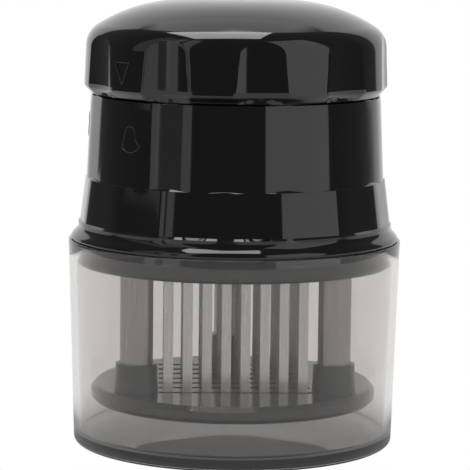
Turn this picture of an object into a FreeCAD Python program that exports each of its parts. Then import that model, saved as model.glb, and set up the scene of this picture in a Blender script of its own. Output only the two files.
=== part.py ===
"""Blade meat tenderizer: a twist cap over a moulded housing, seven combs of blades that drop
through a sprung guard plate on three steel guide tubes, and a clear cover cup.

Millimetres, +Z up. The origin is on the table under the cup, on the tool's axis, and the front
is at -Y. The blades point down and stay behind the guard plate until the tool is pressed.
"""
import FreeCAD, Part

import math
import os

from FreeCAD import Vector

# Cover cup
cup_rim_radius = 50.0
cup_foot_radius = 48.2
cup_height = 61.8
cup_wall = 2.2
cup_floor = 3.2
cup_foot_chamfer = 0.9
cup_rim_gap = 0.3
cup_fit = 0.45

# Housing outside
flange_radius = 49.3
flange_edge = 0.7
flare_height = 3.4
flare_knee_share = 0.6
skirt_height = 19.4
skirt_foot_radius = 47.4
skirt_top_radius = 44.9
skirt_sides = 16
skirt_slope = 1.2
grip_height = 23.7
grip_foot_radius = 44.5
grip_top_radius = 43.35
grip_flutes = 8
flute_depth = 0.3
shell_wall = 2.3

# Housing neck, deck and bayonet lugs
deck_below_shoulder = 2.2
deck_thickness = 3.0
neck_radius = 39.6
neck_wall = 1.6
neck_height = 8.8
neck_lug_rise = 1.6
neck_lug_height = 2.2
neck_lug_drop = 1.7
lug_width_degrees = 35.0
lug_radial_gap = 0.3
lug_axial_gap = 0.3
twist_degrees = 45.0

# Base plate
spigot_depth = 7.45
spigot_wall = 2.4
base_skin = 4.0
base_rim_rise = 3.4
base_rim_fit = 0.3
base_boss_radius = 4.6
shell_boss_radius = 3.6
shell_boss_height = 15.0
shell_boss_circle = 38.0
boss_web = 3.0

# Guide tubes, rods and springs
post_circle = 33.7
post_angles = (210.0, 330.0, 90.0)
post_names = ("left", "right", "rear")
tube_radius = 4.82
tube_wall = 0.8
tube_lip = 1.2
rod_radius = 2.3
rod_running_gap = 0.1
tube_running_gap = 0.1
bush_wall = 1.5
bush_rise = 7.0
press_travel = 27.0
press_gap = 1.05
stop_gap = 0.1
nut_radius = 3.8
nut_height = 2.6
nut_sides = 6
bolt_head_radius = 3.6
bolt_head_height = 2.0
bolt_end_reach = 1.0
spring_radius = 3.3
spring_wire = 0.8
spring_turns = 8
spring_runs_per_turn = 10
spring_seat_gap = 0.1

# Guard plate
guard_radius = 43.1
guard_thickness = 5.0
guard_edge_turn = 1.4
guard_boss_radius = 6.4
guard_boss_height = 8.5
guard_boss_taper = 0.4
tube_socket_depth = 6.6
socket_gap = 0.05
slot_width = 2.4
slot_half_length = 22.6

# Blades
blade_rows = 7
blade_row_pitch = 7.5
blade_columns = 8
blade_column_pitch = 5.67
blade_width = 2.8
blade_thickness = 0.6
blade_point = 3.2
blade_shelter = 1.4
blade_field_y = 2.65
comb_height = 12.0
comb_overhang = 0.85

# Blade carrier
carrier_wall = 1.5
carrier_floor = 2.4
carrier_end_gap = 0.25
carrier_row_gap = 2.0
carrier_slot_gap = 0.2
carrier_side_gap = 0.45
carrier_base_gap = 0.5
carrier_flange_thickness = 2.5
carrier_flange_gap = 0.5
carrier_seat_gap = 0.1
pull_bar_width = 7.0
pull_bar_height = 6.0
clamp_thickness = 3.0
clamp_gap = 0.1
clamp_edge_gap = 0.4
clamp_boss_radius = 2.9
clamp_boss_x = 14.0

# Twist cap and its lock ring
cap_gap = 0.4
cap_skirt_radius = 45.7
cap_face_radius = 60.0
cap_draft = 0.5
cap_side_height = 13.9
cap_chamfer_height = 2.3
cap_chamfer_inset = 2.2
cap_shoulder_radius = 7.6
cap_shoulder_degrees = 60.0
cap_shoulder_steps = 3
cap_dome_fullness = 3.3
cap_dome_shares = (0.93, 0.8, 0.6, 0.3, 0.0)
cap_top = 134.0
cap_wall = 2.6
cap_crown_radius = 34.0
cap_faces = 8
cap_well_radius = 12.2
cap_well_depth = 0.8
ring_wall = 1.3
ring_plate = 1.8
ring_plate_gap = 0.6
ring_fit = 0.2
ring_skirt_radius = 35.0
ring_skirt_wall = 2.0
ring_press_gap = 0.2
ring_lug_height = 2.2
ring_lip_gap = 0.8
ring_screw_circle = 37.9
cap_boss_radius = 3.4

# Screws
screw_radius = 1.5
screw_head_radius = 2.8
screw_head_height = 1.9
screw_end_gap = 0.6
clamp_head_radius = 2.2
clamp_head_height = 1.4
clamp_screw_radius = 1.1
screw_thread_gap = 0.03
head_well_gap = 0.5

# Azimuths of the faceting, counted counter-clockwise from +X in plan
facet_corner_degrees = 264.4

up = Vector(0, 0, 1)
origin = Vector(0, 0, 0)
full_turn = 360.0

# Levels that follow from the sizes above
housing_bottom = cup_height + cup_rim_gap
skirt_top = housing_bottom + skirt_height
shoulder_z = skirt_top + grip_height
deck_top = shoulder_z - deck_below_shoulder
deck_bottom = deck_top - deck_thickness
neck_top = shoulder_z + neck_height
neck_lug_top = neck_top - neck_lug_drop
neck_lug_bottom = neck_lug_top - neck_lug_height
spigot_bottom = housing_bottom - spigot_depth
spigot_radius = cup_rim_radius - cup_wall - cup_fit
skin_top = spigot_bottom + base_skin
cavity_radius = skirt_foot_radius * math.cos(math.pi / skirt_sides) - shell_wall
cavity_waist = min(skirt_top_radius * math.cos(math.pi / skirt_sides), grip_foot_radius) - shell_wall
cavity_top_radius = grip_top_radius - shell_wall
base_rim_radius = cavity_radius - base_rim_fit

guard_boss_top = spigot_bottom - press_gap - press_travel
guard_top = guard_boss_top - guard_boss_height
guard_bottom = guard_top - guard_thickness
tube_foot = guard_boss_top - tube_socket_depth
tube_top = deck_bottom - press_gap - press_travel
nut_top = tube_top - tube_lip - stop_gap
nut_bottom = nut_top - nut_height

blade_tip = guard_bottom + blade_shelter
field_half_x = (blade_columns - 1) / 2 * blade_column_pitch + blade_width / 2
field_half_y = (blade_rows - 1) / 2 * blade_row_pitch
comb_half_x = field_half_x + comb_overhang
carrier_bottom = skin_top + carrier_base_gap
comb_bottom = carrier_bottom + carrier_floor
comb_top = comb_bottom + comb_height
clamp_bottom = comb_top + clamp_gap
clamp_top = clamp_bottom + clamp_thickness
carrier_half_x = comb_half_x + carrier_end_gap + carrier_wall
carrier_half_y = field_half_y + carrier_row_gap + carrier_wall / 2
carrier_seat = deck_top + carrier_seat_gap
carrier_top = carrier_seat + carrier_flange_thickness
carrier_flange_radius = neck_radius - neck_wall - carrier_flange_gap

cap_bottom = shoulder_z + cap_gap
cap_side_top = cap_bottom + cap_side_height
ring_outer = neck_radius + neck_lug_rise + lug_radial_gap + ring_wall
ring_lug_top = neck_lug_bottom - lug_axial_gap
ring_lug_bottom = ring_lug_top - ring_lug_height
ring_bottom = ring_lug_bottom - ring_lip_gap
ring_plate_bottom = neck_top + ring_plate_gap
ring_plate_top = ring_plate_bottom + ring_plate
ring_skirt_bottom = carrier_top + ring_press_gap


def polar(radius, degrees, z=0.0):
    """A point on a circle about the axis."""
    turn = math.radians(degrees)
    return Vector(radius * math.cos(turn), radius * math.sin(turn), z)


def post_places(z=0.0):
    """The three guide posts' axes at height z."""
    return [polar(post_circle, angle, z) for angle in post_angles]


def shell_screw_places(z=0.0):
    """The base plate's screws, midway between the posts."""
    return [polar(shell_boss_circle, angle + full_turn / 6, z) for angle in post_angles]


def ring_screw_places(z=0.0):
    """The lock ring's screws inside the cap."""
    return [polar(ring_screw_circle, angle, z) for angle in post_angles]


def clamp_screw_places(z=0.0):
    """The blade clamp's screws, in the two outer gaps between the blade rows."""
    reach = field_half_y - blade_row_pitch / 2
    return [
        Vector(side * clamp_boss_x, blade_field_y + end * reach, z)
        for side in (-1, 1)
        for end in (-1, 1)
    ]


def revolve(points):
    """A solid of revolution from (radius, height) points, closed back to the first."""
    corners = [Vector(radius, 0, z) for radius, z in points]
    face = Part.Face(Part.makePolygon(corners + corners[:1]))
    return face.revolve(origin, up, full_turn)


def pillar(radius, place, height):
    """A round pillar standing on a point."""
    return Part.makeCylinder(radius, height, place)


def block(half_x, half_y, z0, z1, centre_y=0.0):
    """A box centred on x = 0 and on centre_y."""
    return Part.makeBox(2 * half_x, 2 * half_y, z1 - z0, Vector(-half_x, centre_y - half_y, z0))


def joined(first, others):
    """One solid out of overlapping ones."""
    return first.fuse(others).removeSplitter()


def polygon_ring(radius, sides, corner_degrees, z):
    """A regular polygon with one corner at the given azimuth."""
    step = full_turn / sides
    corners = [polar(radius, corner_degrees + step * count, z) for count in range(sides)]
    return Part.makePolygon(corners + corners[:1])


def sector(inner, outer, centre_degrees, width_degrees, z0, z1):
    """A block of a ring, for a bayonet lug."""
    start = centre_degrees - width_degrees / 2
    ring = Part.makeCylinder(outer, z1 - z0, Vector(0, 0, z0), up, width_degrees)
    ring.rotate(origin, up, start)
    return ring.cut(pillar(inner, Vector(0, 0, z0), z1 - z0))


def screw(place, direction, length, head_radius=screw_head_radius, head_height=screw_head_height,
          radius=screw_radius):
    """A pan head screw: place is under the head, and the shank runs along direction."""
    shank = Part.makeCylinder(radius, length, place, direction)
    head = Part.makeCylinder(head_radius, head_height, place - direction * head_height, direction)
    return shank.fuse(head).removeSplitter()


def cover_cup():
    """The clear cup: drafted wall, flat floor, a small chamfer at the foot."""
    draft = (cup_rim_radius - cup_foot_radius) / cup_height
    inner_floor_radius = cup_foot_radius + draft * cup_floor - cup_wall
    return revolve([
        (0, 0),
        (cup_foot_radius - cup_foot_chamfer, 0),
        (cup_foot_radius + draft * cup_foot_chamfer, cup_foot_chamfer),
        (cup_rim_radius, cup_height),
        (cup_rim_radius - cup_wall, cup_height),
        (inner_floor_radius, cup_floor + cup_foot_chamfer),
        (inner_floor_radius - cup_foot_chamfer, cup_floor),
        (0, cup_floor),
    ])


def skirt_body():
    """The faceted lower half of the grip, which a round flare joins to the flange."""
    faceted = Part.makeLoft(
        [
            polygon_ring(skirt_foot_radius, skirt_sides, facet_corner_degrees, housing_bottom),
            polygon_ring(skirt_top_radius, skirt_sides, facet_corner_degrees, skirt_top),
        ],
        True, True)
    envelope = revolve([
        (0, housing_bottom),
        (flange_radius, housing_bottom),
        (flange_radius, skirt_top - skirt_slope),
        (skirt_top_radius, skirt_top - skirt_slope),
        (skirt_top_radius - skirt_slope, skirt_top),
        (0, skirt_top),
    ])
    flare = revolve([
        (0, housing_bottom),
        (flange_radius, housing_bottom),
        (flange_radius, housing_bottom + flange_edge),
        (skirt_foot_radius + flange_edge, housing_bottom + flare_height * flare_knee_share),
        (skirt_foot_radius * math.cos(math.pi / skirt_sides), housing_bottom + flare_height),
        (0, housing_bottom + flare_height),
    ])
    return flare.fuse(faceted.common(envelope))


def grip_body():
    """The upper half of the grip: a drafted round with shallow flutes over every other corner."""
    body = revolve([
        (0, skirt_top - skirt_slope),
        (grip_foot_radius, skirt_top - skirt_slope),
        (grip_foot_radius, skirt_top),
        (grip_top_radius, shoulder_z),
        (0, shoulder_z),
    ])
    lean = math.degrees(math.atan((grip_foot_radius - grip_top_radius) / grip_height))
    cutters = []
    for count in range(grip_flutes):
        angle = facet_corner_degrees + full_turn / grip_flutes * (count + 0.5)
        reach = grip_foot_radius - flute_depth
        cutter = Part.makeBox(
            grip_foot_radius, grip_foot_radius, 2 * grip_height,
            Vector(reach, -grip_foot_radius / 2, skirt_top - grip_height / 2))
        cutter.rotate(Vector(reach, 0, skirt_top), Vector(0, 1, 0), -lean)
        cutter.rotate(origin, up, angle)
        cutters.append(cutter)
    return body.cut(cutters)


def neck_body():
    """The neck that the cap turns on, with its bayonet lugs."""
    neck = pillar(neck_radius, Vector(0, 0, deck_top), neck_top - deck_top)
    lugs = [
        sector(neck_radius - neck_wall / 2, neck_radius + neck_lug_rise, angle,
               lug_width_degrees, neck_lug_bottom, neck_lug_top)
        for angle in post_angles
    ]
    return neck.fuse(lugs)


def grip_shell():
    """The housing: grip outside, hollow inside, deck across the top and neck above."""
    shell = skirt_body().fuse([grip_body(), neck_body()])
    cavity = revolve([
        (0, housing_bottom),
        (cavity_radius, housing_bottom),
        (cavity_radius, housing_bottom + flare_height + base_rim_fit),
        (min(cavity_top_radius, cavity_waist), skirt_top - skirt_slope),
        (cavity_top_radius, deck_bottom),
        (0, deck_bottom),
    ])
    well = pillar(neck_radius - neck_wall, Vector(0, 0, deck_top), neck_top - deck_top)
    opening = block(
        carrier_half_x + carrier_side_gap, carrier_half_y + carrier_side_gap,
        deck_bottom, deck_top, blade_field_y)
    bolt_holes = [
        pillar(rod_radius + screw_thread_gap, place, deck_thickness)
        for place in post_places(deck_bottom)
    ]
    shell = shell.cut([cavity, well, opening] + bolt_holes)
    boss_foot = housing_bottom + base_rim_rise
    bosses = [
        pillar(shell_boss_radius, place, shell_boss_height)
        for place in shell_screw_places(boss_foot)
    ]
    webs = []
    for angle in post_angles:
        web = Part.makeBox(
            cavity_waist + shell_wall / 2 - shell_boss_circle, boss_web, shell_boss_height,
            Vector(shell_boss_circle, -boss_web / 2, boss_foot))
        web.rotate(origin, up, angle + full_turn / 6)
        webs.append(web)
    pilots = [
        pillar(screw_radius + screw_thread_gap, place, shell_boss_height - boss_web)
        for place in shell_screw_places(boss_foot)
    ]
    return joined(shell, bosses + webs).cut(pilots)


def base_plate():
    """The plate that closes the housing: spigot, locating rim, tube bushes and blade window."""
    rim_top = housing_bottom + base_rim_rise
    plate = revolve([
        (0, spigot_bottom),
        (spigot_radius - cup_foot_chamfer, spigot_bottom),
        (spigot_radius, spigot_bottom + cup_foot_chamfer),
        (spigot_radius, housing_bottom),
        (base_rim_radius, housing_bottom),
        (base_rim_radius, rim_top),
        (base_rim_radius - spigot_wall, rim_top),
        (base_rim_radius - spigot_wall, skin_top),
        (0, skin_top),
    ])
    bushes = [
        pillar(tube_radius + tube_running_gap + bush_wall, place, bush_rise)
        for place in post_places(skin_top)
    ]
    bosses = [
        pillar(base_boss_radius, place, rim_top - skin_top)
        for place in shell_screw_places(skin_top)
    ]
    plate = joined(plate, bushes + bosses)
    window = block(
        field_half_x + carrier_end_gap, field_half_y + carrier_row_gap / 2,
        spigot_bottom, skin_top, blade_field_y)
    carrier_room = block(
        carrier_half_x + carrier_side_gap, carrier_half_y + carrier_side_gap,
        skin_top, rim_top + bush_rise, blade_field_y)
    bores = [
        pillar(tube_radius + tube_running_gap, place, base_skin + bush_rise)
        for place in post_places(spigot_bottom)
    ]
    wells = [
        pillar(screw_head_radius + head_well_gap, place, base_skin)
        for place in shell_screw_places(spigot_bottom)
    ]
    holes = [
        pillar(screw_radius + screw_thread_gap, place, rim_top - skin_top)
        for place in shell_screw_places(skin_top)
    ]
    return plate.cut([window, carrier_room] + bores + wells + holes)


def base_screws():
    """Three screws up through the base plate into the housing's bosses."""
    length = base_rim_rise + housing_bottom - skin_top + shell_boss_height - boss_web - screw_end_gap
    return Part.makeCompound([screw(place, up, length) for place in shell_screw_places(skin_top)])


def guard_plate():
    """The sprung guard: a rounded disc with a slot for each blade row and three tube bosses."""
    turn = guard_edge_turn
    disc = revolve([
        (0, guard_bottom),
        (guard_radius - turn, guard_bottom),
        (guard_radius, guard_bottom + turn),
        (guard_radius, guard_top - turn),
        (guard_radius - turn, guard_top),
        (0, guard_top),
    ])
    bosses = [
        Part.makeCone(guard_boss_radius, guard_boss_radius - guard_boss_taper, guard_boss_height, place)
        for place in post_places(guard_top)
    ]
    plate = joined(disc, bosses)
    slots = [
        block(slot_half_length, slot_width / 2, guard_bottom, guard_top, row_y)
        for row_y in row_places()
    ]
    sockets = [
        pillar(tube_radius + socket_gap, place, tube_socket_depth)
        for place in post_places(tube_foot)
    ]
    return plate.cut(slots + sockets)


def row_places():
    """The blade rows, front to back."""
    first = blade_field_y - field_half_y
    return [first + blade_row_pitch * count for count in range(blade_rows)]


def guide_tube(place):
    """One steel tube, turned in at the top to a lip that runs on its rod."""
    bore = tube_radius - tube_wall
    tube = revolve([
        (bore, tube_foot),
        (tube_radius, tube_foot),
        (tube_radius, tube_top - tube_wall),
        (tube_radius - tube_wall, tube_top),
        (rod_radius + rod_running_gap, tube_top),
        (rod_radius + rod_running_gap, tube_top - tube_lip),
        (bore, tube_top - tube_lip),
    ])
    tube.translate(place)
    return tube


def guide_bolts():
    """Three long bolts down through the deck that the tubes slide on."""
    length = deck_top - nut_bottom + bolt_end_reach
    return Part.makeCompound([
        screw(place, up * -1, length, bolt_head_radius, bolt_head_height, rod_radius)
        for place in post_places(deck_top)
    ])


def stop_nuts():
    """The hexagonal nuts on the bolts' ends: stop for the tube's lip and seat for the spring."""
    nuts = []
    for place in post_places(nut_bottom):
        outline = polygon_ring(nut_radius, nut_sides, 0, nut_bottom)
        outline.translate(Vector(place.x, place.y, 0))
        body = Part.Face(outline).extrude(up * nut_height)
        nuts.append(body.cut(pillar(rod_radius + screw_thread_gap, place, nut_height)))
    return Part.makeCompound(nuts)


def return_spring(place):
    """One compression spring of square wire, bent in short straight runs."""
    bottom = tube_foot + spring_seat_gap + spring_wire
    top = nut_bottom - spring_seat_gap - spring_wire
    runs = spring_turns * spring_runs_per_turn
    step = full_turn / spring_runs_per_turn
    rise = (top - bottom) / runs
    path = Part.makePolygon([
        polar(spring_radius, step * count, bottom + rise * count) for count in range(runs + 1)
    ])
    half = spring_wire / 2
    section = Part.makePolygon([
        Vector(spring_radius + side_x * half, 0, bottom + side_z * half)
        for side_x, side_z in ((-1, -1), (1, -1), (1, 1), (-1, 1), (-1, -1))
    ])
    mitred = 1
    spring = path.makePipeShell([section], True, True, mitred)
    spring.translate(place)
    return spring


def blade_comb(row_y):
    """One stamped comb: a back strip and eight flat blades with chisel points."""
    outline = [(comb_half_x, comb_bottom), (comb_half_x, comb_top),
               (-comb_half_x, comb_top), (-comb_half_x, comb_bottom)]
    for count in range(blade_columns):
        centre = (count - (blade_columns - 1) / 2) * blade_column_pitch
        left = centre - blade_width / 2
        right = centre + blade_width / 2
        outline += [(left, comb_bottom), (left, blade_tip + blade_point),
                    (right, blade_tip), (right, comb_bottom)]
    corners = [Vector(x, row_y - blade_thickness / 2, z) for x, z in outline]
    face = Part.Face(Part.makePolygon(corners + corners[:1]))
    return face.extrude(Vector(0, blade_thickness, 0))


def blade_carrier():
    """The lift-out carrier: a deep tray for the combs under a flange with a pull bar."""
    flange = pillar(carrier_flange_radius, Vector(0, 0, carrier_seat), carrier_flange_thickness)
    tray = block(carrier_half_x, carrier_half_y, carrier_bottom, carrier_seat, blade_field_y)
    hollow = block(
        carrier_half_x - carrier_wall, carrier_half_y - carrier_wall,
        comb_bottom, carrier_top, blade_field_y)
    bar = block(
        carrier_half_x - carrier_wall / 2, pull_bar_width / 2,
        carrier_top - pull_bar_height, carrier_top, blade_field_y)
    bosses = [
        pillar(clamp_boss_radius, place, comb_height)
        for place in clamp_screw_places(comb_bottom)
    ]
    body = joined(flange, [tray]).cut(hollow)
    body = joined(body, [bar] + bosses)
    slots = [
        block(field_half_x + carrier_slot_gap, blade_thickness / 2 + carrier_slot_gap,
              carrier_bottom, comb_bottom, row_y)
        for row_y in row_places()
    ]
    head_notches = [
        pillar(bolt_head_radius + head_well_gap, place, carrier_flange_thickness)
        for place in post_places(carrier_seat)
    ]
    pilots = [
        pillar(clamp_screw_radius + screw_thread_gap, place, comb_height)
        for place in clamp_screw_places(comb_bottom)
    ]
    return body.cut(slots + head_notches + pilots)


def blade_clamp_plate():
    """The plate that holds the combs down in the carrier."""
    plate = block(
        carrier_half_x - carrier_wall - clamp_edge_gap, carrier_half_y - carrier_wall - clamp_edge_gap,
        clamp_bottom, clamp_top, blade_field_y)
    holes = [
        pillar(clamp_screw_radius + screw_thread_gap, place, clamp_thickness)
        for place in clamp_screw_places(clamp_bottom)
    ]
    return plate.cut(holes)


def clamp_screws():
    """Four screws through the clamp plate into the carrier's bosses."""
    length = clamp_thickness + comb_height - screw_end_gap
    return Part.makeCompound([
        screw(place, up * -1, length, clamp_head_radius, clamp_head_height, clamp_screw_radius)
        for place in clamp_screw_places(clamp_top)
    ])


def cap_section(corner_radius, z):
    """The cap's eight-sided outline: crowned faces that meet at blunt corners."""
    step = full_turn / cap_faces
    corners = [
        polar(corner_radius, facet_corner_degrees + step * (count + 0.5), z)
        for count in range(cap_faces)
    ]
    half_chord = corner_radius * math.sin(math.radians(step / 2))
    crown = cap_face_radius - math.sqrt(cap_face_radius ** 2 - half_chord ** 2)
    face_reach = corner_radius * math.cos(math.radians(step / 2)) + crown
    arcs = []
    for count in range(cap_faces):
        middle = polar(face_reach, facet_corner_degrees + step * (count + 1), z)
        end = corners[(count + 1) % cap_faces]
        arcs.append(Part.Arc(corners[count], middle, end).toShape())
    return Part.Wire(arcs)


def dome_points():
    """The cap's round envelope: a shoulder arc, then a low dome that is full near its rim."""
    turn = cap_shoulder_radius
    centre_r = cap_skirt_radius - cap_draft - turn
    points = []
    for count in range(cap_shoulder_steps + 1):
        lean = math.radians(cap_shoulder_degrees * count / cap_shoulder_steps)
        points.append((centre_r + turn * math.cos(lean), cap_side_top + turn * math.sin(lean)))
    rim_r, rim_z = points[-1]
    for share in cap_dome_shares:
        points.append((rim_r * share, rim_z + (cap_top - rim_z) * (1 - share ** cap_dome_fullness)))
    return points


def twist_cap():
    """The cap shell: soft octagon sides under a low dome with a shallow finger well."""
    sides = Part.makeLoft(
        [cap_section(cap_skirt_radius, cap_bottom), cap_section(cap_skirt_radius - cap_draft, cap_top)],
        True, True)
    envelope = revolve([
        (0, cap_bottom),
        (cap_skirt_radius - cap_chamfer_inset, cap_bottom),
        (cap_skirt_radius, cap_bottom + cap_chamfer_height),
    ] + dome_points())
    inner_radius = ring_outer + ring_fit
    hollow = revolve([
        (0, cap_bottom),
        (inner_radius, cap_bottom),
        (inner_radius, cap_side_top - cap_wall),
        (cap_crown_radius, cap_side_top + cap_shoulder_radius),
        (0, cap_top - cap_wall - cap_well_depth),
    ])
    well = pillar(cap_well_radius, Vector(0, 0, cap_top - cap_well_depth), cap_wall)
    cap = sides.common(envelope).cut([hollow, well])
    boss_top = cap_side_top + cap_shoulder_radius / 2
    bosses = [
        pillar(cap_boss_radius, place, boss_top - ring_plate_top)
        for place in ring_screw_places(ring_plate_top)
    ]
    pilots = [
        pillar(screw_radius + screw_thread_gap, place, boss_top - ring_plate_top - cap_wall)
        for place in ring_screw_places(ring_plate_top)
    ]
    return joined(cap, bosses).cut(pilots)


def lock_ring():
    """The ring inside the cap: bayonet lugs outside the neck, pressing skirt inside it."""
    inner = ring_outer - ring_wall
    ring = revolve([
        (inner, ring_bottom),
        (ring_outer, ring_bottom),
        (ring_outer, ring_plate_top),
        (ring_skirt_radius - ring_skirt_wall, ring_plate_top),
        (ring_skirt_radius - ring_skirt_wall, ring_skirt_bottom),
        (ring_skirt_radius, ring_skirt_bottom),
        (ring_skirt_radius, ring_plate_bottom),
        (inner, ring_plate_bottom),
    ])
    lugs = [
        sector(neck_radius + lug_radial_gap, inner + ring_wall / 2, angle + twist_degrees,
               lug_width_degrees, ring_lug_bottom, ring_lug_top)
        for angle in post_angles
    ]
    holes = [
        pillar(screw_radius + screw_thread_gap, place, ring_plate)
        for place in ring_screw_places(ring_plate_bottom)
    ]
    countersinks = [
        Part.makeCone(screw_head_radius, screw_radius + screw_thread_gap,
                      screw_head_radius - screw_radius, place)
        for place in ring_screw_places(ring_plate_bottom)
    ]
    return joined(ring, lugs).cut(holes + countersinks)


def ring_screws():
    """Three countersunk screws up through the lock ring into the cap."""
    head = screw_head_radius - screw_radius
    length = cap_side_top + cap_shoulder_radius / 2 - ring_plate_bottom - cap_wall - screw_end_gap
    screws = []
    for place in ring_screw_places(ring_plate_bottom):
        shank = pillar(screw_radius, place, length)
        cone = Part.makeCone(screw_head_radius - screw_thread_gap, screw_radius, head, place)
        screws.append(shank.fuse(cone).removeSplitter())
    return Part.makeCompound(screws)


parts = {
    "cover_cup": cover_cup(),
    "grip_shell": grip_shell(),
    "base_plate": base_plate(),
    "base_screws": base_screws(),
    "guard_plate": guard_plate(),
    "guide_bolts": guide_bolts(),
    "stop_nuts": stop_nuts(),
    "blade_carrier": blade_carrier(),
    "blade_clamp_plate": blade_clamp_plate(),
    "clamp_screws": clamp_screws(),
    "twist_cap": twist_cap(),
    "lock_ring": lock_ring(),
    "ring_screws": ring_screws(),
}
for name, place in zip(post_names, post_places()):
    parts["guide_tube_" + name] = guide_tube(place)
    parts["return_spring_" + name] = return_spring(place)
for number, row_y in enumerate(row_places(), start=1):
    parts["blade_row_" + str(number)] = blade_comb(row_y)

os.makedirs("parts", exist_ok=True)
for name, shape in parts.items():
    shape.exportStep("parts/" + name + ".step")
    print(name, len(shape.Solids), "solid", round(shape.Volume / 1000, 2), "cm3", shape.isValid())
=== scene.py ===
"""Looks of a blade meat tenderizer: glossy black grip and cap, steel posts and blades, smoky cup.

Metres, +Z up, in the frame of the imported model. The front faces -Y.
"""

import math

import bmesh
import bpy
from mathutils import Matrix, Vector


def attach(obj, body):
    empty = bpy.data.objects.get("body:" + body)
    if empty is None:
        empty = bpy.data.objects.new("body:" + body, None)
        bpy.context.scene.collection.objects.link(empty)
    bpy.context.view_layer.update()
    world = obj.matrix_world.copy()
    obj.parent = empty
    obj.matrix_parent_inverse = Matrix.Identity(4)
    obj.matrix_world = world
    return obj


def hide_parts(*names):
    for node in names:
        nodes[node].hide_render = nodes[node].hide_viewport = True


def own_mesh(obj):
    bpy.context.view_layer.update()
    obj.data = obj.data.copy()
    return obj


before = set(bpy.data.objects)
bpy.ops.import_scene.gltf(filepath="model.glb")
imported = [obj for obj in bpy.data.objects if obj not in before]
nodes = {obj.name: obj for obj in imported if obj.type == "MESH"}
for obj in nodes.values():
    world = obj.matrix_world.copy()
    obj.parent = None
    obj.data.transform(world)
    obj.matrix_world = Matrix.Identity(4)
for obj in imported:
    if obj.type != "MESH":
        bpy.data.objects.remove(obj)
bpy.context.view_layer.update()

MM = 0.001
FULL_TURN = 2 * math.pi
AROUND = 384

# Sizes of the shells, in millimetres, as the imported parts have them
HOUSING_BOTTOM = 62.1
FLANGE_RADIUS = 49.3
SKIRT_TOP = 81.5
SKIRT_SLOPE = 1.2
SKIRT_FOOT_RADIUS = 47.4
SKIRT_TOP_RADIUS = 44.9
SKIRT_SIDES = 16
SKIRT_SWELL = 0.4
SKIRT_SHARPNESS = 80
FLARE_TOP = 65.9
FLARE_RADIUS = 47.05
FLARE_SHARPNESS = 180
GRIP_REACH = 76.0
SHOULDER = 105.2
GRIP_FOOT_RADIUS = 44.5
GRIP_TOP_RADIUS = 43.35
GRIP_FLUTES = 8
FLUTE_DEPTH = 0.3
FLUTE_SHARPNESS = 320
EDGE_BREAK = 0.3
HAIR = 0.01
FLARE_RINGS = 22
SKIRT_RINGS = 22
STEP_RINGS = 36
STEP_SHARPNESS = 2500
GRIP_RINGS = 14
GRIP_SWELL = 0.06
FLUTE_BLEND = 0.02
SHOULDER_TURN = 0.4
SHOULDER_INSET = 0.12
CAVITY_TOP_RADIUS = 41.05
CAVITY_TOP = 80.3
CAVITY_RADIUS = 44.2
CAVITY_KNEE = 65.8
CAVITY_MARGIN = 0.05
DECK_TOP = 103.0
DECK_BOTTOM = 100.0
DECK_LAP = 0.4
WINDOW_X = 24.9
WINDOW_FRONT = -22.8
WINDOW_BACK = 28.1
CUTTER_HEIGHT = 20
NECK_RADIUS = 39.6
NECK_BORE = 38.0
NECK_TOP = 114.0
LUG_RADIUS = 41.2
LUG_TOP = 112.3
LUG_BOTTOM = 110.1
LUG_WIDTH = 35.0
LUG_SINK = 0.5
LUG_STEPS = 10
LUG_BREAK = 0.25
LUG_AZIMUTHS = (210.0, 330.0, 90.0)
FACET_CORNER = 264.4

CAP_BOTTOM = 105.6
CAP_SKIRT_RADIUS = 45.45
CAP_SCOOPS = 10
SCOOP_CENTRE = 240.9
SCOOP_HALF = 9.7
SCOOP_BEND = 1.85
SCOOP_SHARPNESS = 1400
SCOOP_LIFT = 0.02
CAP_DRAFT = 0.5
CAP_TOP = 134.0
CAP_CHAMFER_HEIGHT = 2.3
CAP_CHAMFER_INSET = 2.2
CAP_SIDE_TOP = 119.5
CAP_SHOULDER_RADIUS = 7.6
CAP_DOME_FULLNESS = 3.3
CAP_WELL_RADIUS = 12.2
CAP_WELL_DEPTH = 0.8
CAP_DOME_RINGS = 26
CAP_SIDE_RINGS = 10
CAP_SHOULDER_RINGS = 30
CAP_SHOULDER_DEGREES = 60
CAP_CROWN_RADIUS = 34.0
CAP_CROWN_RISE = 7.6
CAP_AROUND = 480
CUP_AROUND = 256
CAP_BORE = 43.0
CAP_BOSS_RADIUS = 3.4
CAP_BOSS_CIRCLE = 37.9
CAP_BOSS_BOTTOM = 116.4

SPRING_WIRE = 0.8
SPRING_RADIUS = 3.3
SPRING_TURNS = 10
SPRING_BOTTOM = 20.2
SPRING_TOP = 67.89
SPRING_FLAT = 0.08
SPRING_STEPS_A_TURN = 24
POST_CIRCLE = 33.7

MARK_LINE = 0.17
TRIANGLE_PLACE = (-139.0, 113.3)
LOCK_PLACE = (-136.3, 94.5)
OPEN_LOCK_PLACE = (-184.5, 96.0)
OPEN_SHACKLE_SHIFT = 1.4
TRIANGLE = [(-3.0, 3.1), (3.0, 3.1), (0.2, -3.2)]
MARK_SPACING = 0.4

# Angles up to which an edge is shaded smooth, in degrees
MOULDING_SMOOTH = 28.0
CUP_SMOOTH = 40.0
WIRE_SMOOTH = 60.0
SHARP_EDGE = 40.0

CUP_RIM_RADIUS = 50.0
CUP_FOOT_RADIUS = 48.2
CUP_HEIGHT = 61.8
CUP_WALL = 2.2
CUP_FLOOR = 3.2
CUP_FOOT_TURN = 1.6
CUP_RIM_TURN = 0.45
CUP_SMOKE = 10.0

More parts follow.
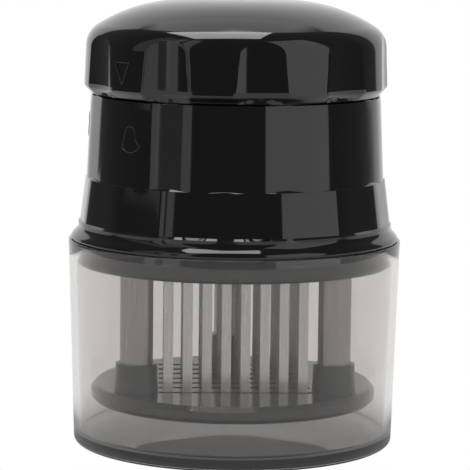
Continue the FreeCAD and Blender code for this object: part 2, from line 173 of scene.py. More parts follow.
# The photograph's camera, fitted to the object's edges
PHOTO_SIDE = 470
FOCAL_PIXELS = 2574.2
SENSOR_WIDTH = 36.0
CAMERA_PLACE = (-32.10, -770.38, 166.08)
CAMERA_YAW = 2.40
CAMERA_PITCH = 7.65
CAMERA_ROLL = 0.63
CLIP_NEAR = 0.01
CLIP_FAR = 20.0

# The stretch of a noise pattern that a material's range is spread over
PATTERN_LOW = 0.3
PATTERN_HIGH = 0.7
ALONG_Z = (1, 1, 0.03)
EVEN = (1, 1, 1)

# Studio: radiances, and the directions that see the white wall and the slope over it
ROOM_DARK = 0.145
WALL_WHITE = 1.15
WALL_TURN = (0.12, 1.0, 0.10)
WALL_EDGE = (0.71, 0.754)
SLOPE_TURN = (0.0, 0.6, 0.8)
SLOPE_EDGE = (0.94, 0.965)
BOX_REACH = 0.9
BOX_BOTTOM = -0.15
BOX_TOP = 1.5
FLOOR_SIDE = 1.6
# Painted shadow on the floor: its glow, seen through the cup or in metal, is darker near a point just
# in front of the object's axis
SHADE_FRONT = -8.0
SHADE_NEAR = 24.0
SHADE_FAR = 105.0
SHADE_DEEP = 0.05


def deselect_all():
    for thing in bpy.context.selected_objects:
        thing.select_set(False)


def make_active(thing):
    deselect_all()
    thing.select_set(True)
    bpy.context.view_layer.objects.active = thing


def settle(thing, name):
    """Names a finished piece and puts its place into its mesh."""
    make_active(thing)
    bpy.ops.object.transform_apply(location=True, rotation=True, scale=True)
    thing.name = name
    thing.data.name = name
    return thing


def turned(name, outline, around=AROUND, closed=True):
    """A lathe-turned shell: a ring extruded and scaled from one (radius, height) to the next.

    A closed outline comes back to its first ring. Otherwise both ends are filled to the axis.
    """
    first_radius, first_height = outline[0]
    deselect_all()
    bpy.ops.mesh.primitive_circle_add(
        vertices=around, radius=first_radius * MM, location=(0, 0, first_height * MM))
    shell = bpy.context.active_object
    bpy.ops.object.transform_apply(location=True, rotation=True, scale=True)
    bpy.ops.object.mode_set(mode="EDIT")
    bpy.ops.mesh.select_mode(type="VERT")
    bpy.ops.mesh.select_all(action="SELECT")
    if not closed:
        cap_ring(shell, first_height)
    for (radius, height), (next_radius, next_height) in zip(outline, outline[1:]):
        bpy.ops.mesh.extrude_edges_move(
            TRANSFORM_OT_translate={"value": (0, 0, (next_height - height) * MM)})
        share = next_radius / radius
        bpy.ops.transform.resize(
            value=(share, share, 1), center_override=(0, 0, next_height * MM))
    if closed:
        select_ring(shell, outline[0], add=True)
        bpy.ops.mesh.bridge_edge_loops()
    else:
        cap_ring(shell, outline[-1][1])
    bpy.ops.mesh.select_all(action="SELECT")
    bpy.ops.mesh.normals_make_consistent(inside=False)
    bpy.ops.object.mode_set(mode="OBJECT")
    return settle(shell, name)


def cap_ring(shell, height):
    """Fills the selected ring to a point on the axis, and leaves the ring selected."""
    mesh = bmesh.from_edit_mesh(shell.data)
    ring = [vert for vert in mesh.verts if vert.select]
    edges = [edge for edge in mesh.edges if edge.select]
    centre = mesh.verts.new((0, 0, height * MM))
    for edge in edges:
        mesh.faces.new((edge.verts[0], edge.verts[1], centre))
    centre.select_set(False)
    for face in mesh.faces:
        face.select_set(False)
    for vert in ring:
        vert.select_set(True)
    for edge in edges:
        edge.select_set(True)
    bmesh.update_edit_mesh(shell.data)


def select_ring(shell, place, add=False):
    """Selects the ring of vertices at a (radius, height)."""
    radius, height = place
    mesh = bmesh.from_edit_mesh(shell.data)
    near = 0.004 * MM
    for vert in mesh.verts:
        off = abs(math.hypot(vert.co.x, vert.co.y) - radius * MM) + abs(vert.co.z - height * MM)
        if off < near:
            vert.select_set(True)
        elif not add:
            vert.select_set(False)
    mesh.select_flush_mode()
    bmesh.update_edit_mesh(shell.data)


def smooth(piece, degrees):
    make_active(piece)
    bpy.ops.object.shade_smooth_by_angle(angle=math.radians(degrees))


def arc(centre, radius, start, end, steps):
    """Points of a round stretch of an outline, angles in degrees from the radius direction."""
    points = []
    for count in range(steps + 1):
        turn = math.radians(start + (end - start) * count / steps)
        points.append((centre[0] + radius * math.cos(turn), centre[1] + radius * math.sin(turn)))
    return points


def from_facet(azimuth, sides, corner):
    """The angle from the middle of the facet that an azimuth lies on, in radians."""
    step = 360.0 / sides
    return math.radians((azimuth - corner) % step - step / 2)


def softer(first, second, sharpness):
    """The smaller of two radii, rounded where they meet."""
    small, large = min(first, second), max(first, second)
    return small * (1 + (small / large) ** sharpness) ** (-1 / sharpness)


def wider(first, second, sharpness):
    """The larger of two radii, filleted where they meet."""
    small, large = min(first, second), max(first, second)
    return large * (1 + (small / large) ** sharpness) ** (1 / sharpness)


def skirt_radius(azimuth, height):
    """Sixteen-sided skirt, drafted, its corners widely rounded."""
    share = (height - HOUSING_BOTTOM) / (SKIRT_TOP - HOUSING_BOTTOM)
    corner = SKIRT_FOOT_RADIUS + (SKIRT_TOP_RADIUS - SKIRT_FOOT_RADIUS) * share + SKIRT_SWELL
    lean = abs(from_facet(azimuth, SKIRT_SIDES, FACET_CORNER))
    depth = corner * math.cos(math.pi / SKIRT_SIDES)
    next_lean = FULL_TURN / SKIRT_SIDES - lean
    return softer(depth / math.cos(lean), depth / math.cos(next_lean), SKIRT_SHARPNESS)


def grip_radius(azimuth, height):
    """Drafted round grip with a shallow flute over every other skirt corner."""
    share = (height - SKIRT_TOP) / (SHOULDER - SKIRT_TOP)
    round_radius = GRIP_FOOT_RADIUS + (GRIP_TOP_RADIUS - GRIP_FOOT_RADIUS) * share
    lean = from_facet(azimuth, GRIP_FLUTES, FACET_CORNER)
    flute = (round_radius - FLUTE_DEPTH) / math.cos(lean)
    return softer(flute, round_radius + FLUTE_BLEND, FLUTE_SHARPNESS) + GRIP_SWELL


def cap_side(azimuth, height):
    """Radius of the cap's side, scoops and the round stretches between them."""
    share = (height - CAP_BOTTOM) / (CAP_TOP - CAP_BOTTOM)
    return min(CAP_SKIRT_RADIUS - CAP_DRAFT * share, cap_radius(azimuth, height))


def scoop_depth(azimuth):
    """How far a finger scoop of the cap goes in at an azimuth, in millimetres."""
    lean = abs(from_facet(azimuth, CAP_SCOOPS, SCOOP_CENTRE - 180.0 / CAP_SCOOPS))
    half = math.radians(SCOOP_HALF)
    fall = math.log(math.cos(SCOOP_BEND * lean) / math.cos(SCOOP_BEND * half)) / SCOOP_BEND
    return CAP_SKIRT_RADIUS * fall


def cap_radius(azimuth, height):
    """Radius of the cap's side inside a scoop, and past its edge where the scoop doesn't reach."""
    share = (height - CAP_BOTTOM) / (CAP_TOP - CAP_BOTTOM)
    return CAP_SKIRT_RADIUS - CAP_DRAFT * share - scoop_depth(azimuth)


def reshape(piece, radius_of):
    """Moves each vertex of a turned piece to the radius that a rule gives for its place."""
    for vert in piece.data.vertices:
        radius = math.hypot(vert.co.x, vert.co.y) / MM
        if radius < 1.0:
            continue
        azimuth = math.degrees(math.atan2(vert.co.y, vert.co.x)) % 360.0
        share = radius_of(radius, azimuth, vert.co.z / MM) / radius
        vert.co.x *= share
        vert.co.y *= share


def spaced(start, end, steps):
    """Points along a straight stretch of an outline, without its first."""
    return [
        (start[0] + (end[0] - start[0]) * count / steps, start[1] + (end[1] - start[1]) * count / steps)
        for count in range(1, steps + 1)
    ]


def lug(name, azimuth, inner, outer, bottom, top):
    """A bayonet lug: a bent block on a ring, its edges broken."""
    deselect_all()
    bpy.ops.mesh.primitive_grid_add(x_subdivisions=LUG_STEPS, y_subdivisions=1, size=1)
    piece = bpy.context.active_object
    for vert in piece.data.vertices:
        turn = math.radians(azimuth + vert.co.x * LUG_WIDTH)
        radius = (inner + (vert.co.y + 0.5) * (outer - inner)) * MM
        vert.co = Vector((radius * math.cos(turn), radius * math.sin(turn), bottom * MM))
    bpy.ops.object.mode_set(mode="EDIT")
    bpy.ops.mesh.select_all(action="SELECT")
    bpy.ops.mesh.extrude_region_move(TRANSFORM_OT_translate={"value": (0, 0, (top - bottom) * MM)})
    bpy.ops.mesh.select_all(action="SELECT")
    bpy.ops.mesh.normals_make_consistent(inside=False)
    bpy.ops.object.mode_set(mode="OBJECT")
    settle(piece, name)
    broken_edges(piece, LUG_BREAK)
    return piece


def broken_edges(piece, width):
    """A Bevel modifier on the sharp edges, applied."""
    make_active(piece)
    bevel = piece.modifiers.new("broken_edges", "BEVEL")
    bevel.width = width * MM
    bevel.segments = 2
    bevel.limit_method = "ANGLE"
    bevel.angle_limit = math.radians(SHARP_EDGE)
    bpy.ops.object.modifier_apply(modifier=bevel.name)


def joined(pieces, name):
    """Several meshes as one piece."""
    deselect_all()
    for piece in pieces:
        piece.select_set(True)
    bpy.context.view_layer.objects.active = pieces[0]
    bpy.ops.object.join()
    return settle(bpy.context.active_object, name)


def pillar(name, radius, x, y, bottom, top, around=32):
    """A round boss with a broken end."""
    deselect_all()
    bpy.ops.mesh.primitive_cylinder_add(
        vertices=around, radius=radius * MM, depth=(top - bottom) * MM,
        location=(x * MM, y * MM, (bottom + top) / 2 * MM))
    piece = settle(bpy.context.active_object, name)
    broken_edges(piece, EDGE_BREAK)
    return piece


def deck():
    """The housing's deck: a disc with the carrier's window, cut and bevelled."""
    disc = pillar("deck", NECK_BORE + DECK_LAP, 0, 0, DECK_BOTTOM, DECK_TOP, around=128)
    deselect_all()
    bpy.ops.mesh.primitive_cube_add(
        size=1, location=(0, (WINDOW_FRONT + WINDOW_BACK) / 2 * MM, DECK_TOP * MM))
    cutter = bpy.context.active_object
    cutter.scale = (2 * WINDOW_X * MM, (WINDOW_BACK - WINDOW_FRONT) * MM, CUTTER_HEIGHT * MM)
    bpy.ops.object.transform_apply(location=True, rotation=True, scale=True)
    make_active(disc)
    hole = disc.modifiers.new("window", "BOOLEAN")
    hole.object = cutter
    hole.operation = "DIFFERENCE"
    bpy.ops.object.modifier_apply(modifier=hole.name)
    bpy.data.objects.remove(cutter)
    return disc


def flare_radius(height):
    """The flange's sweep up into the skirt, a half wave."""
    foot = HOUSING_BOTTOM
    rise = (height - foot - 0.2) / (FLARE_TOP - foot - 0.2)
    swell = (FLANGE_RADIUS - 0.05 - FLARE_RADIUS) / 2
    return FLARE_RADIUS + swell * (1 + math.cos(math.pi * min(1.0, max(0.0, rise))))


def in_cavity(radius, height):
    """Whether a place lies on the housing's inner wall."""
    if height < CAVITY_KNEE + 0.2:
        return radius < CAVITY_RADIUS + CAVITY_MARGIN
    share = max(0.0, (CAVITY_TOP - height) / (CAVITY_TOP - CAVITY_KNEE))
    wall = CAVITY_TOP_RADIUS + CAVITY_MARGIN + share * (CAVITY_RADIUS - CAVITY_TOP_RADIUS)
    return radius < wall


def housing_radius(radius, azimuth, height):
    """Where the housing's turned wall goes: faceted, flared and fluted outside, as it is inside."""
    if radius < GRIP_TOP_RADIUS - 0.5 or radius > FLANGE_RADIUS - HAIR:
        return radius
    if height <= HOUSING_BOTTOM or height >= SHOULDER - HAIR:
        return radius
    if in_cavity(radius, height):
        return radius
    if height < FLARE_TOP + 1.5:
        return wider(flare_radius(height), skirt_radius(azimuth, height), FLARE_SHARPNESS)
    if height < GRIP_REACH:
        return skirt_radius(azimuth, height)
    grip_here = grip_radius(azimuth, height)
    if height < SKIRT_TOP:
        over = max(0.0, height - (SKIRT_TOP - SKIRT_SLOPE))
        grip_here = wider(skirt_radius(azimuth, height) - over, grip_here, STEP_SHARPNESS)
    if height > SHOULDER - SHOULDER_TURN:
        grip_here -= SHOULDER_INSET
    return grip_here


def grip_shell():
    """The housing: flange, flare, soft-faceted skirt, stepped grip, neck and lugs."""
    flange = [
        (FLANGE_RADIUS - 0.25, HOUSING_BOTTOM),
        (FLANGE_RADIUS, HOUSING_BOTTOM + 0.2),
        (FLANGE_RADIUS, HOUSING_BOTTOM + 0.45),
    ]
    flare = spaced(
        (FLANGE_RADIUS - 0.1, HOUSING_BOTTOM + 0.5), (FLARE_RADIUS, FLARE_TOP + 1), FLARE_RINGS)
    step_foot = (SKIRT_TOP_RADIUS, SKIRT_TOP - SKIRT_SLOPE - EDGE_BREAK)
    grip_foot = (GRIP_FOOT_RADIUS, SKIRT_TOP + EDGE_BREAK)
    skirt = spaced(flare[-1], step_foot, SKIRT_RINGS)
    step = spaced(step_foot, grip_foot, STEP_RINGS)
    grip = spaced(grip_foot, (GRIP_TOP_RADIUS, SHOULDER - SHOULDER_TURN), GRIP_RINGS)
    shoulder = [
        (GRIP_TOP_RADIUS - 0.1, SHOULDER - 0.12), (GRIP_TOP_RADIUS - SHOULDER_TURN, SHOULDER)]
    neck = [
        (NECK_RADIUS, SHOULDER), (NECK_RADIUS, NECK_TOP - EDGE_BREAK),
        (NECK_RADIUS - EDGE_BREAK, NECK_TOP), (NECK_BORE + EDGE_BREAK, NECK_TOP),
        (NECK_BORE, NECK_TOP - EDGE_BREAK), (NECK_BORE, DECK_BOTTOM),
    ]
    cavity = [
        (CAVITY_TOP_RADIUS, DECK_BOTTOM), (CAVITY_TOP_RADIUS, CAVITY_TOP),
        (CAVITY_RADIUS, CAVITY_KNEE), (CAVITY_RADIUS, HOUSING_BOTTOM),
    ]
    shell = turned("grip_body", flange + flare + skirt + step + grip + shoulder + neck + cavity)

    reshape(shell, housing_radius)
    lugs = [
        lug("neck_lug", azimuth, NECK_RADIUS - LUG_SINK, LUG_RADIUS, LUG_BOTTOM, LUG_TOP)
        for azimuth in LUG_AZIMUTHS
    ]
    piece = joined([shell, deck()] + lugs, "grip_shell_moulding")
    smooth(piece, MOULDING_SMOOTH)
    return piece


def cap_outline():
    """The cap's outside from its lower edge to the middle of its finger well."""
    shoulder_centre = (CAP_SKIRT_RADIUS - CAP_DRAFT - CAP_SHOULDER_RADIUS, CAP_SIDE_TOP)
    edge = CAP_SKIRT_RADIUS - CAP_CHAMFER_INSET
    chamfer = [(edge, CAP_BOTTOM), (edge + 0.25, CAP_BOTTOM + 0.12)]
    chamfer += spaced(chamfer[-1], (CAP_SKIRT_RADIUS - 0.25, CAP_BOTTOM + CAP_CHAMFER_HEIGHT - 0.3), 4)
    side = [(CAP_SKIRT_RADIUS, CAP_BOTTOM + CAP_CHAMFER_HEIGHT + 0.2)]
    side += spaced(side[-1], (CAP_SKIRT_RADIUS - CAP_DRAFT, CAP_SIDE_TOP), CAP_SIDE_RINGS)
    shoulder = arc(
        shoulder_centre, CAP_SHOULDER_RADIUS, 0, CAP_SHOULDER_DEGREES, CAP_SHOULDER_RINGS)[1:]
    rim_radius, rim_height = shoulder[-1]
    dome = []
    for count in range(1, CAP_DOME_RINGS):
        share = 1 - (count / CAP_DOME_RINGS) * (1 - CAP_WELL_RADIUS / rim_radius)
        rise = 1 - share ** CAP_DOME_FULLNESS
        dome.append((rim_radius * share, rim_height + (CAP_TOP - rim_height) * rise))
    last_height = dome[-1][1]
    well = [
        (CAP_WELL_RADIUS + 0.15, last_height), (CAP_WELL_RADIUS, last_height - 0.1),
        (CAP_WELL_RADIUS - 0.15, CAP_TOP - CAP_WELL_DEPTH + 0.1),
        (CAP_WELL_RADIUS - 0.4, CAP_TOP - CAP_WELL_DEPTH), (4.0, CAP_TOP - CAP_WELL_DEPTH - 0.05),
    ]
    return chamfer + side + shoulder + dome + well


def twist_cap():
    """The cap: ten finger scoops, rounded shoulder, low dome with a finger well, open below."""
    outside = cap_outline()
    inside = [
        (4.0, CAP_TOP - 3.4), (CAP_CROWN_RADIUS, CAP_SIDE_TOP + CAP_CROWN_RISE),
        (CAP_BORE, CAP_SIDE_TOP - 2.6), (CAP_BORE, CAP_BOTTOM + 0.2),
    ]
    skin = turned("cap_body", outside + inside, around=CAP_AROUND)
    limit = CAP_SIDE_TOP + CAP_SHOULDER_RADIUS
    chamfer_top = CAP_BOTTOM + CAP_CHAMFER_HEIGHT

    def rule(radius, azimuth, height):
        if radius < CAP_BORE + 0.1 and height < CAP_SIDE_TOP + 4:
            return radius
        if radius < 40.0 or height > limit:
            return radius
        if height < chamfer_top:
            scooped = radius - max(0.0, scoop_depth(azimuth))
            return max(CAP_BORE + 0.2, scooped)
        return softer(radius, cap_radius(azimuth, height), SCOOP_SHARPNESS) + SCOOP_LIFT

    reshape(skin, rule)
    plug = turned(
        "well_floor", [(4.4, CAP_TOP - CAP_WELL_DEPTH - 0.04), (4.4, CAP_TOP - 3.5)], closed=False)
    bosses = []
    for azimuth in LUG_AZIMUTHS:
        turn = math.radians(azimuth)
        bosses.append(pillar(
            "cap_boss", CAP_BOSS_RADIUS, CAP_BOSS_CIRCLE * math.cos(turn),
            CAP_BOSS_CIRCLE * math.sin(turn), CAP_BOSS_BOTTOM, CAP_SIDE_TOP + 3.8))
    piece = joined([skin, plug] + bosses, "twist_cap_moulding")
    smooth(piece, MOULDING_SMOOTH)
    return piece


def cover_cup():
    """The clear cup with its rounded foot and rim."""
    draft = (CUP_RIM_RADIUS - CUP_FOOT_RADIUS) / CUP_HEIGHT
    turn = CUP_FOOT_TURN
    outside = arc((CUP_FOOT_RADIUS - turn + 0.05, turn), turn, -90, 0, 8)
    outside += spaced(outside[-1], (CUP_RIM_RADIUS, CUP_HEIGHT - CUP_RIM_TURN), 12)
    rim = arc((CUP_RIM_RADIUS - CUP_RIM_TURN, CUP_HEIGHT - CUP_RIM_TURN), CUP_RIM_TURN, 0, 90, 4)[1:]
    inner_rim = CUP_RIM_RADIUS - CUP_WALL
    rim += arc((inner_rim + CUP_RIM_TURN, CUP_HEIGHT - CUP_RIM_TURN), CUP_RIM_TURN, 90, 180, 4)
    inner_floor = CUP_FOOT_RADIUS + draft * CUP_FLOOR - CUP_WALL
    inside = spaced(rim[-1], (inner_floor, CUP_FLOOR + turn), 12)
    inside += arc((inner_floor - turn, CUP_FLOOR + turn), turn, 0, -90, 8)[1:]
    cup = turned("cover_cup_clear", outside + rim + inside, around=CUP_AROUND, closed=False)
    smooth(cup, CUP_SMOOTH)
    return cup


def return_spring(name, x, y):
    """A round-wire compression spring with closed ends."""
    line = bpy.data.curves.new(name, "CURVE")
    line.dimensions = "3D"
    line.bevel_depth = SPRING_WIRE / 2 * MM
    line.bevel_resolution = 3
    steps = SPRING_STEPS_A_TURN * SPRING_TURNS
    thread = line.splines.new("POLY")
    thread.points.add(steps)
    bottom = SPRING_BOTTOM + SPRING_WIRE / 2
    rise = SPRING_TOP - SPRING_BOTTOM - SPRING_WIRE
    for count, point in enumerate(thread.points):
        share = count / steps
        turn = FULL_TURN * SPRING_TURNS * share
        climb = min(1.0, max(0.0, (share - SPRING_FLAT) / (1 - 2 * SPRING_FLAT)))
        point.co = (
            (x + SPRING_RADIUS * math.cos(turn)) * MM, (y + SPRING_RADIUS * math.sin(turn)) * MM,
            (bottom + rise * climb) * MM, 1)
    holder = bpy.data.objects.new(name, line)
    bpy.context.scene.collection.objects.link(holder)
    make_active(holder)
    bpy.ops.object.convert(target="MESH")
    piece = settle(bpy.context.active_object, name)
    smooth(piece, WIRE_SMOOTH)
    return piece


def raised_mark(name, outline, azimuth, height, surface):
    """A closed raised line on a moulding. The outline is (across, up) around the mark's middle."""
    line = bpy.data.curves.new(name, "CURVE")
    line.dimensions = "3D"
    line.bevel_depth = MARK_LINE * MM
    line.bevel_resolution = 2
    spots = []
    for start, end in zip(outline, outline[1:] + outline[:1]):
        spots += spaced(start, end, max(1, round(math.dist(start, end) / MARK_SPACING)))
    thread = line.splines.new("POLY")
    thread.points.add(len(spots) - 1)
    thread.use_cyclic_u = True
    for point, (across, up) in zip(thread.points, spots):
        radius = surface(azimuth, height + up)
        here = azimuth + math.degrees(across / radius)
        radius = surface(here, height + up)
        turn = math.radians(here)
        point.co = (radius * MM * math.cos(turn), radius * MM * math.sin(turn), (height + up) * MM, 1)
    holder = bpy.data.objects.new(name, line)
    bpy.context.scene.collection.objects.link(holder)
    make_active(holder)
    bpy.ops.object.convert(target="MESH")
    piece = settle(bpy.context.active_object, name)
    smooth(piece, WIRE_SMOOTH)
    return piece


def lock_outline(shackle_shift):
    """A plain padlock-like outline: a round top over a body that widens to a curved base."""
    top = arc((shackle_shift, 1.5), 2.0, 170, 10, 10)
    side = [(2.3 + shackle_shift / 2, -0.4), (4.1, -2.2)]
    base = arc((0.2, 1.2), 5.2, -42, -130, 8)
    return top + side + base


# Materials


def new_material(name):
    material = bpy.data.materials.new(name)
    material.use_nodes = True
    tree = material.node_tree
    shader = tree.nodes["Principled BSDF"]
    return material, tree, shader


def noise(tree, scale, detail=4.0, roughness=0.6, stretch=(1, 1, 1)):
    """A noise pattern on Object coordinates, stretched along the axes given."""
    place = tree.nodes.new("ShaderNodeTexCoord")
    mapping = tree.nodes.new("ShaderNodeMapping")
    mapping.inputs["Scale"].default_value = stretch
    pattern = tree.nodes.new("ShaderNodeTexNoise")
    pattern.inputs["Scale"].default_value = scale
    pattern.inputs["Detail"].default_value = detail
    pattern.inputs["Roughness"].default_value = roughness
    tree.links.new(place.outputs["Object"], mapping.inputs["Vector"])
    tree.links.new(mapping.outputs["Vector"], pattern.inputs["Vector"])
    return pattern


def ranged(tree, pattern, low, high, target):
    """Drives a socket from a pattern between two values."""
    span = tree.nodes.new("ShaderNodeMapRange")
    span.inputs["From Min"].default_value = PATTERN_LOW
    span.inputs["From Max"].default_value = PATTERN_HIGH
    span.inputs["To Min"].default_value = low
    span.inputs["To Max"].default_value = high
    tree.links.new(pattern.outputs[0], span.inputs["Value"])
    tree.links.new(span.outputs["Result"], target)


def tinted(tree, pattern, dark, light, target):
    """Drives a colour socket from a pattern between two colours."""
    ramp = tree.nodes.new("ShaderNodeValToRGB")
    ramp.color_ramp.elements[0].position = PATTERN_LOW
    ramp.color_ramp.elements[0].color = (*dark, 1)
    ramp.color_ramp.elements[1].position = PATTERN_HIGH
    ramp.color_ramp.elements[1].color = (*light, 1)
    tree.links.new(pattern.outputs[0], ramp.inputs["Fac"])
    tree.links.new(ramp.outputs["Color"], target)


def bumped(tree, pattern, shader, strength, distance):
    bump = tree.nodes.new("ShaderNodeBump")
    bump.inputs["Strength"].default_value = strength
    bump.inputs["Distance"].default_value = distance
    tree.links.new(pattern.outputs[0], bump.inputs["Height"])
    tree.links.new(bump.outputs["Normal"], shader.inputs["Normal"])


def moulded_black(name, base, rough_low, rough_high, wave):
    """Moulded black plastic: polish that varies a little and a faint moulding wave."""
    material, tree, shader = new_material(name)
    shader.inputs["IOR"].default_value = 1.5
    haze = noise(tree, 140.0, detail=5.0)
    ranged(tree, haze, rough_low, rough_high, shader.inputs["Roughness"])
    tone = noise(tree, 35.0, detail=3.0)
    tinted(tree, tone, tuple(part * 0.85 for part in base), base, shader.inputs["Base Color"])
    ripple = noise(tree, 28.0, detail=1.0, roughness=0.3)
    bumped(tree, ripple, shader, wave, 0.0004)
    return material


def smoke_clear():
    """Smoke-grey clear plastic, with faint moulding flow and a little surface haze."""
    material, tree, shader = new_material("smoke_clear_plastic")
    shader.inputs["Transmission Weight"].default_value = 1.0
    shader.inputs["IOR"].default_value = 1.45
    absorb = tree.nodes.new("ShaderNodeVolumeAbsorption")
    absorb.inputs["Color"].default_value = (0, 0, 0, 1)
    absorb.inputs["Density"].default_value = CUP_SMOKE
    tree.links.new(absorb.outputs["Volume"], tree.nodes["Material Output"].inputs["Volume"])
    haze = noise(tree, 60.0, detail=3.0)
    ranged(tree, haze, 0.01, 0.03, shader.inputs["Roughness"])
    tone = noise(tree, 18.0, detail=2.0)
    tinted(tree, tone, (0.715, 0.696, 0.68), (0.735, 0.716, 0.70), shader.inputs["Base Color"])
    ripple = noise(tree, 22.0, detail=1.0, roughness=0.3)
    bumped(tree, ripple, shader, 0.03, 0.0004)
    return material


def brushed(name, dark, light, rough_low, rough_high, stretch, scale):
    """Stainless steel with fine brushing along one direction."""
    material, tree, shader = new_material(name)
    shader.inputs["Metallic"].default_value = 1.0
    grain = noise(tree, scale, detail=6.0, stretch=stretch)
    tinted(tree, grain, dark, light, shader.inputs["Base Color"])
    ranged(tree, grain, rough_low, rough_high, shader.inputs["Roughness"])
    bumped(tree, grain, shader, 0.06, 0.00003)
    return material


def dress(names, material):
    """Gives CAD nodes a better material in their own slots."""
    for name in names:
        thing = nodes[name]
        for held in thing.material_slots:
            held.material = material


def clothe(piece, material, body, slot, *replaced):
    """Material, body, slot (not used) and the nodes that a new piece stands for."""
    piece.data.materials.clear()
    piece.data.materials.append(material)
    if replaced:
        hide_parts(*replaced)
    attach(piece, body)


# Studio


def white_when_seen(tree, facing=None):
    """One where the camera, metal or clear plastic sees the background. Facing narrows it for metal."""
    rays = tree.nodes.new("ShaderNodeLightPath")
    mirrored = rays.outputs["Is Glossy Ray"]
    if facing is not None:
        narrowed = tree.nodes.new("ShaderNodeMath")
        narrowed.operation = "MULTIPLY"
        tree.links.new(mirrored, narrowed.inputs[0])
        tree.links.new(facing, narrowed.inputs[1])
        mirrored = narrowed.outputs[0]
    straight = either(tree, rays.outputs["Is Camera Ray"], rays.outputs["Is Transmission Ray"])
    return either(tree, straight, mirrored)


def either(tree, first, second):
    larger = tree.nodes.new("ShaderNodeMath")
    larger.operation = "MAXIMUM"
    tree.links.new(first, larger.inputs[0])
    tree.links.new(second, larger.inputs[1])
    return larger.outputs[0]


def studio_world():
    """White for the camera. Reflections see a dark room with a white wall behind the object."""
    world = bpy.data.worlds.new("studio")
    bpy.context.scene.world = world
    world.use_nodes = True
    tree = world.node_tree
    background = tree.nodes["Background"]
    place = tree.nodes.new("ShaderNodeTexCoord")
    wall = lit_side(tree, place, WALL_TURN, WALL_EDGE)
    slope = lit_side(tree, place, SLOPE_TURN, SLOPE_EDGE)
    room = tree.nodes.new("ShaderNodeMath")
    room.operation = "MULTIPLY_ADD"
    room.inputs[1].default_value = WALL_WHITE - ROOM_DARK
    room.inputs[2].default_value = ROOM_DARK
    tree.links.new(either(tree, wall, slope), room.inputs[0])
    white = tree.nodes.new("ShaderNodeMix")
    white.inputs["B"].default_value = 1.0
    tree.links.new(white_when_seen(tree, wall), white.inputs["Factor"])
    tree.links.new(room.outputs[0], white.inputs["A"])
    tree.links.new(white.outputs["Result"], background.inputs["Strength"])
    background.inputs["Color"].default_value = (1, 1, 1, 1)


def lit_side(tree, place, toward, edge):
    """From nought to one as a direction turns towards a side of the room."""
    turn = tree.nodes.new("ShaderNodeVectorMath")
    turn.operation = "DOT_PRODUCT"
    turn.inputs[1].default_value = toward
    tree.links.new(place.outputs["Generated"], turn.inputs[0])
    span = tree.nodes.new("ShaderNodeMapRange")
    span.inputs["From Min"].default_value = edge[0]
    span.inputs["From Max"].default_value = edge[1]
    tree.links.new(turn.outputs["Value"], span.inputs["Value"])
    return span.outputs["Result"]


def area_light(name, width, depth, radiance, place):
    """An area light that gives a radiance over its whole face."""
    light = bpy.data.lights.new(name, "AREA")
    light.shape = "RECTANGLE"
    light.size = width
    light.size_y = depth
    light.energy = radiance * math.pi * width * depth
    holder = bpy.data.objects.new(name, light)
    bpy.context.scene.collection.objects.link(holder)
    holder.location = place
    return holder


def softbox(name, azimuth, spread, radiance, bottom=BOX_BOTTOM):
    """A standing softbox: azimuth and spread in degrees right of the camera, heights in metres."""
    width = 2 * BOX_REACH * math.tan(math.radians(spread / 2))
    turn = math.radians(azimuth - CAMERA_YAW - 90.0)
    middle = (bottom + BOX_TOP) / 2
    place = Vector((BOX_REACH * math.cos(turn), BOX_REACH * math.sin(turn), middle))
    holder = area_light(name, width, BOX_TOP - bottom, radiance, place)
    aim = Vector((0, 0, place.z))
    holder.rotation_euler = (aim - place).to_track_quat("-Z", "Y").to_euler()


def floor():
    """A pale floor near the object, plain white to the camera. Seen through the cup or in metal, its
    glow carries a painted shadow around the object.
    """
    deselect_all()
    bpy.ops.mesh.primitive_plane_add(size=FLOOR_SIDE, location=(0, 0, 0))
    ground = settle(bpy.context.active_object, "floor")
    material, tree, shader = new_material("pale_floor")
    shader.inputs["Base Color"].default_value = (0.5, 0.5, 0.5, 1)
    shader.inputs["Roughness"].default_value = 0.9
    shader.inputs["Specular IOR Level"].default_value = 0.0
    glow = tree.nodes.new("ShaderNodeEmission")
    place = tree.nodes.new("ShaderNodeTexCoord")
    apart = tree.nodes.new("ShaderNodeVectorMath")
    apart.operation = "DISTANCE"
    apart.inputs[1].default_value = (0, SHADE_FRONT * MM, 0)
    tree.links.new(place.outputs["Object"], apart.inputs[0])
    # Painted shadow: the glow dims towards the object, down to SHADE_DEEP
    shade = tree.nodes.new("ShaderNodeMapRange")
    shade.interpolation_type = "SMOOTHSTEP"
    shade.inputs["From Min"].default_value = SHADE_NEAR * MM
    shade.inputs["From Max"].default_value = SHADE_FAR * MM
    shade.inputs["To Min"].default_value = SHADE_DEEP
    shade.inputs["To Max"].default_value = 1.0
    tree.links.new(apart.outputs["Value"], shade.inputs["Value"])
    blend = tree.nodes.new("ShaderNodeMixShader")
    rays = tree.nodes.new("ShaderNodeLightPath")
    plain = either(tree, shade.outputs["Result"], rays.outputs["Is Camera Ray"])
    tree.links.new(plain, glow.inputs["Strength"])
    tree.links.new(white_when_seen(tree), blend.inputs["Fac"])
    tree.links.new(shader.outputs["BSDF"], blend.inputs[1])
    tree.links.new(glow.outputs["Emission"], blend.inputs[2])
    tree.links.new(blend.outputs["Shader"], tree.nodes["Material Output"].inputs["Surface"])
    ground.data.materials.append(material)


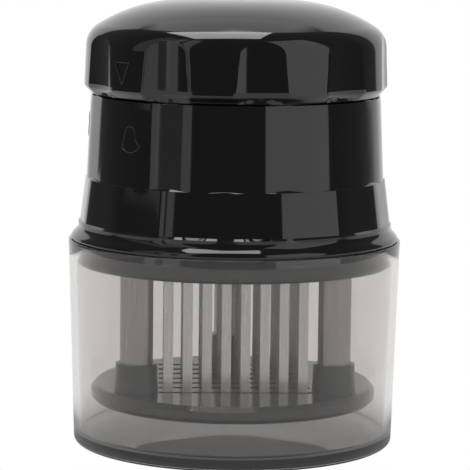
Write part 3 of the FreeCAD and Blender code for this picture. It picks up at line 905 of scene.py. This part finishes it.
def camera():
    data = bpy.data.cameras.new("photo_camera")
    data.sensor_fit = "HORIZONTAL"
    data.sensor_width = SENSOR_WIDTH
    data.lens = FOCAL_PIXELS / PHOTO_SIDE * SENSOR_WIDTH
    data.clip_start = CLIP_NEAR
    data.clip_end = CLIP_FAR
    holder = bpy.data.objects.new("photo_camera", data)
    bpy.context.scene.collection.objects.link(holder)
    yaw = math.radians(CAMERA_YAW)
    pitch = math.radians(CAMERA_PITCH)
    roll = math.radians(CAMERA_ROLL)
    ahead = Vector((math.sin(yaw) * math.cos(pitch), math.cos(yaw) * math.cos(pitch), -math.sin(pitch)))
    right = Vector((math.cos(yaw), -math.sin(yaw), 0))
    above = right.cross(ahead)
    rolled_right = right * math.cos(roll) + above * math.sin(roll)
    rolled_above = above * math.cos(roll) - right * math.sin(roll)
    turn = Matrix((rolled_right, rolled_above, -ahead)).transposed().to_4x4()
    holder.matrix_world = Matrix.Translation(Vector(CAMERA_PLACE) * MM) @ turn
    bpy.context.scene.camera = holder


gloss_black = moulded_black("gloss_black_plastic", (0.0045, 0.0045, 0.005), 0.04, 0.09, 0.05)
satin_black = moulded_black("satin_black_plastic", (0.012, 0.012, 0.012), 0.2, 0.28, 0.012)
guard_black = moulded_black("guard_black_plastic", (0.03, 0.03, 0.03), 0.09, 0.14, 0.012)
clear = smoke_clear()
blade_steel = brushed(
    "blade_steel", (0.56, 0.56, 0.555), (0.64, 0.64, 0.63), 0.2, 0.28, ALONG_Z, 1800.0)
tube_steel = brushed(
    "tube_steel", (0.29, 0.275, 0.26), (0.38, 0.36, 0.34), 0.2, 0.28, ALONG_Z, 1500.0)
wire_steel = brushed("spring_steel", (0.40, 0.40, 0.40), (0.52, 0.52, 0.52), 0.3, 0.4, EVEN, 300.0)
zinc = brushed("zinc_plated_screw", (0.55, 0.56, 0.58), (0.7, 0.7, 0.72), 0.2, 0.3, EVEN, 400.0)

clothe(grip_shell(), gloss_black, "housing", "black_gloss", "grip_shell")
clothe(twist_cap(), gloss_black, "cap", "black_gloss", "twist_cap")
clothe(cover_cup(), clear, "cup", "smoke_clear", "cover_cup")
triangle = raised_mark("turn_mark", TRIANGLE, *TRIANGLE_PLACE, cap_side)
clothe(triangle, gloss_black, "cap", "black_gloss")
for mark_name, shift, place in (
        ("lock_mark", 0.0, LOCK_PLACE), ("open_mark", OPEN_SHACKLE_SHIFT, OPEN_LOCK_PLACE)):
    mark = raised_mark(mark_name, lock_outline(shift), *place, grip_radius)
    clothe(mark, gloss_black, "housing", "black_gloss")
dress(["base_plate", "blade_carrier", "blade_clamp_plate", "lock_ring"], satin_black)
dress(["guard_plate"], guard_black)
dress(["blade_row_%d" % number for number in range(1, 8)], blade_steel)
dress(["guide_tube_left", "guide_tube_right", "guide_tube_rear"], tube_steel)
for side, azimuth in zip(("left", "right", "rear"), LUG_AZIMUTHS):
    turn = math.radians(azimuth)
    post_x, post_y = POST_CIRCLE * math.cos(turn), POST_CIRCLE * math.sin(turn)
    spring = return_spring("spring_coil_" + side, post_x, post_y)
    clothe(spring, wire_steel, "housing", "spring_steel", "return_spring_" + side)
    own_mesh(spring)
dress(["base_screws", "guide_bolts", "stop_nuts", "clamp_screws", "ring_screws"], zinc)

studio_world()
softbox("right_box", azimuth=51.5, spread=47.8, radiance=1.15)
softbox("left_strip", azimuth=-57.5, spread=8.0, radiance=0.85)
softbox("front_strip", azimuth=-42.0, spread=12.0, radiance=0.85)
softbox("between_strips", azimuth=-52.0, spread=7.0, radiance=0.2)
softbox("left_fill", azimuth=-74.0, spread=18.0, radiance=0.4, bottom=0.145)
area_light("top_box", width=0.56, depth=0.62, radiance=5.5, place=(-0.10, 0.03, 0.98))
floor()
camera()
bpy.context.scene.view_settings.view_transform = "Standard"
